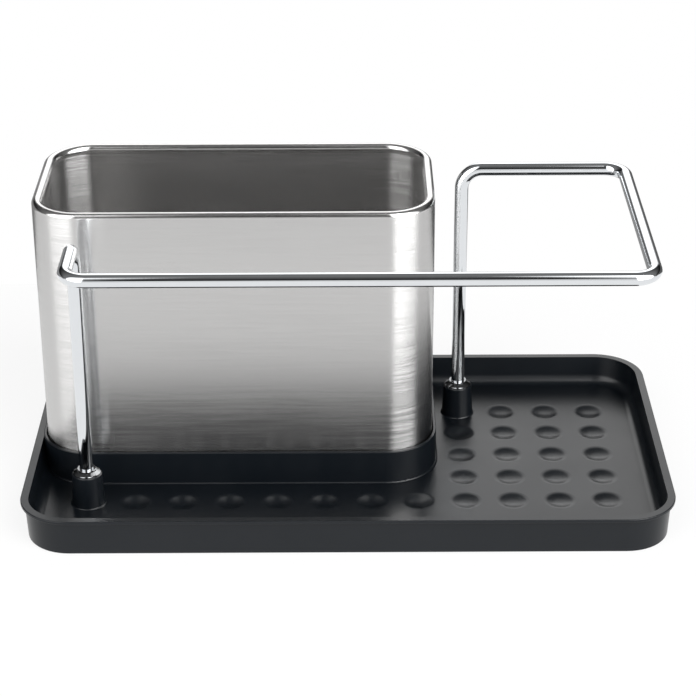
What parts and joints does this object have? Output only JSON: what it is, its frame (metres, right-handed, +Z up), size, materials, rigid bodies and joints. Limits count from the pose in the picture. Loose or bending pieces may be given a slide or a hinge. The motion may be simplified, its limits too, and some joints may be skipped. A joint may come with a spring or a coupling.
{
  "type": "kitchen sink caddy",
  "caption": "Low tray with sunk dimples that carries a lift-out rectangular steel cup and a bent wire rail looping over it, for brushes, sponges and a cloth.",
  "frame": {"origin": "middle of the footprint, on the surface that the rubber feet stand on", "axes": "+X to the right along the tray's length, +Y to the back, +Z up"},
  "size_m": [0.28, 0.156, 0.1329],
  "materials": {
    "black_plastic": "satin black injection moulding",
    "cup_steel": "horizontal brushed grain",
    "rail_chrome": "bright chrome plate on steel wire",
    "screw_steel": "zinc plated",
    "foot_rubber": "matt rubber"
  },
  "bodies": {
    "base": {"tray": "black_plastic", "rail": "rail_chrome", "rail_collar_left": "rail_chrome", "rail_collar_right": "rail_chrome", "rail_screws": "screw_steel", "rail_washers": "screw_steel", "foot_front_left": "foot_rubber", "foot_front_right": "foot_rubber", "foot_back_left": "foot_rubber", "foot_back_right": "foot_rubber"},
    "cup": {"cup_shell": "cup_steel", "cup_base": "cup_steel"}
  },
  "joints": [
    {"name": "cup_lift", "type": "slide", "parent": "base", "child": "cup", "axis": [0, 0, 1], "range_m": [0, 0.14]}
  ]
}
